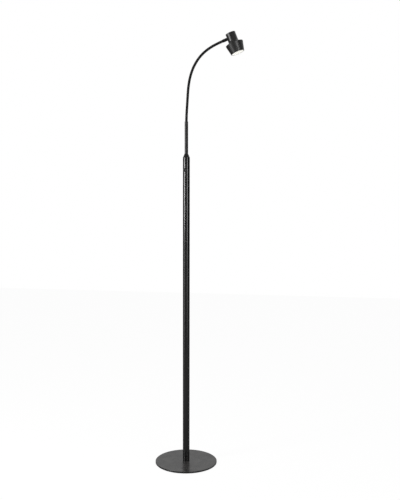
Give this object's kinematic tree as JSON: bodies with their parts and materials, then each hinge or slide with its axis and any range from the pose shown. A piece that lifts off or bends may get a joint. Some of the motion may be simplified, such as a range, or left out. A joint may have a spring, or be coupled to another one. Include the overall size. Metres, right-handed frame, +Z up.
{
  "type": "gooseneck reading floor lamp",
  "caption": "Slim black floor lamp: round flat base, straight tube pole with a dimmer button, thin stem, ribbed bendable neck and a small waisted swivelling light head.",
  "frame": {"origin": "on the floor, where the pole axis meets it", "axes": "+Z up along the pole, +X the way the neck bends at rest, -Y the side with the dimmer button"},
  "size_m": [0.3263, 0.232, 1.5981],
  "materials": {
    "rubber": "matt black foam rubber",
    "base_paint": "satin black powder coat",
    "pole_paint": "satin black powder coat",
    "cap_paint": "satin black powder coat",
    "stem_paint": "satin black powder coat",
    "neck_black": "matt black coated spring steel",
    "zinc_steel": "zinc plated",
    "black_steel": "black oxide",
    "head_paint": "satin black powder coat on cast aluminium",
    "bare_aluminium": "bare aluminium",
    "chip_yellow": "phosphor coated light chips",
    "white_plastic": "matt white",
    "opal_plastic": "opal diffuser",
    "black_plastic": "fine textured black",
    "button_plastic": "soft touch black",
    "board_green": "solder mask",
    "component_black": "moulded components",
    "contact_brass": "plated brass",
    "lead_sheath": "black sheathed two core lead"
  },
  "bodies": {
    "stand": {"base_pad": "rubber", "base_plate": "base_paint", "base_bolt": "zinc_steel", "pole_foot_insert": "zinc_steel", "pole_lower": "pole_paint", "pole_upper": "pole_paint", "pole_joint_stud": "zinc_steel", "pole_joint_socket": "zinc_steel", "pole_cap": "cap_paint", "cap_set_screw": "black_steel", "neck_stem": "stem_paint", "stem_ferrule": "stem_paint", "switch_bezel": "black_plastic", "switch_housing": "black_plastic", "tact_switch": "black_plastic", "dimmer_carrier": "black_plastic", "dimmer_board": "board_green", "dimmer_parts": "component_black", "inlet_jack": "black_plastic", "inlet_contact": "contact_brass", "inlet_nut": "zinc_steel", "pole_lead": "lead_sheath", "neck_segment_01": "neck_black", "neck_lead_01": "lead_sheath"},
    "neck_02": {"neck_segment_02": "neck_black", "neck_lead_02": "lead_sheath"},
    "neck_03": {"neck_segment_03": "neck_black", "neck_lead_03": "lead_sheath"},
    "neck_04": {"neck_segment_04": "neck_black", "neck_lead_04": "lead_sheath"},
    "neck_05": {"neck_segment_05": "neck_black", "neck_lead_05": "lead_sheath"},
    "neck_06": {"neck_segment_06": "neck_black", "neck_lead_06": "lead_sheath"},
    "neck_07": {"neck_segment_07": "neck_black", "neck_lead_07": "lead_sheath"},
    "neck_08": {"neck_segment_08": "neck_black", "neck_lead_08": "lead_sheath"},
    "neck_09": {"neck_segment_09": "neck_black", "neck_lead_09": "lead_sheath"},
    "neck_10": {"neck_segment_10": "neck_black", "neck_lead_10": "lead_sheath"},
    "neck_11": {"neck_segment_11": "neck_black", "neck_lead_11": "lead_sheath"},
    "neck_12": {"neck_segment_12": "neck_black", "neck_lead_12": "lead_sheath", "head_ferrule": "stem_paint", "swivel_washer": "black_plastic", "neck_nut": "zinc_steel"},
    "head": {"head_shell": "head_paint", "collar_cap": "head_paint", "heat_sink": "bare_aluminium", "led_board": "bare_aluminium", "led_chips": "chip_yellow", "reflector": "white_plastic", "diffuser_lens": "opal_plastic", "lens_ring": "white_plastic", "head_screws": "zinc_steel", "head_lead": "lead_sheath"},
    "button": {"switch_button": "button_plastic"}
  },
  "joints": [
    {"name": "neck_bend_01", "type": "hinge", "parent": "stand", "child": "neck_02", "pos_m": [0.00086, 0, 1.30928], "axis": [-0.0087, 1, 0.0005], "range_deg": [-18, 18]},
    {"name": "neck_side_bend_02", "type": "hinge", "parent": "neck_02", "child": "neck_03", "pos_m": [0.00259, 0, 1.33753], "axis": [0.9981, 0, -0.061], "range_deg": [-18, 18]},
    {"name": "neck_bend_03", "type": "hinge", "parent": "neck_03", "child": "neck_04", "pos_m": [0.00432, 0, 1.36578], "axis": [-0.0087, 1, 0.0005], "range_deg": [-18, 18]},
    {"name": "neck_bend_04", "type": "hinge", "parent": "neck_04", "child": "neck_05", "pos_m": [0.00629, 0, 1.39401], "axis": [0.0087, 1, -0.0007], "range_deg": [-18, 18]},
    {"name": "neck_side_bend_05", "type": "hinge", "parent": "neck_05", "child": "neck_06", "pos_m": [0.00986, 0, 1.42207], "axis": [0.9848, 0, -0.1736], "range_deg": [-18, 18]},
    {"name": "neck_bend_06", "type": "hinge", "parent": "neck_06", "child": "neck_07", "pos_m": [0.01647, 0, 1.44957], "axis": [0.0083, 1, -0.0026], "range_deg": [-18, 18]},
    {"name": "neck_bend_07", "type": "hinge", "parent": "neck_07", "child": "neck_08", "pos_m": [0.02671, 0, 1.47592], "axis": [-0.0079, 1, 0.0038], "range_deg": [-18, 18]},
    {"name": "neck_side_bend_08", "type": "hinge", "parent": "neck_08", "child": "neck_09", "pos_m": [0.04106, 0, 1.50028], "axis": [0.8141, 0, -0.5807], "range_deg": [-18, 18]},
    {"name": "neck_bend_09", "type": "hinge", "parent": "neck_09", "child": "neck_10", "pos_m": [0.0596, 0, 1.5216], "axis": [-0.006, 1, 0.0063], "range_deg": [-18, 18]},
    {"name": "neck_bend_10", "type": "hinge", "parent": "neck_10", "child": "neck_11", "pos_m": [0.08179, 0, 1.5391], "axis": [0.0048, 1, -0.0073], "range_deg": [-18, 18]},
    {"name": "neck_side_bend_11", "type": "hinge", "parent": "neck_11", "child": "neck_12", "pos_m": [0.10652, 0, 1.55281], "axis": [0.4226, 0, -0.9063], "range_deg": [-18, 18]},
    {"name": "head_swivel", "type": "hinge", "parent": "neck_12", "child": "head", "pos_m": [0.16578, 0, 1.57708], "axis": [0.9304, 0, 0.3665], "range_deg": [-90, 90]},
    {"name": "button_press", "type": "slide", "parent": "stand", "child": "button", "axis": [0.454, 0.891, 0], "range_m": [0, 0.0008], "stiffness_N_per_m": 900, "springref_m": -0.0008}
  ]
}
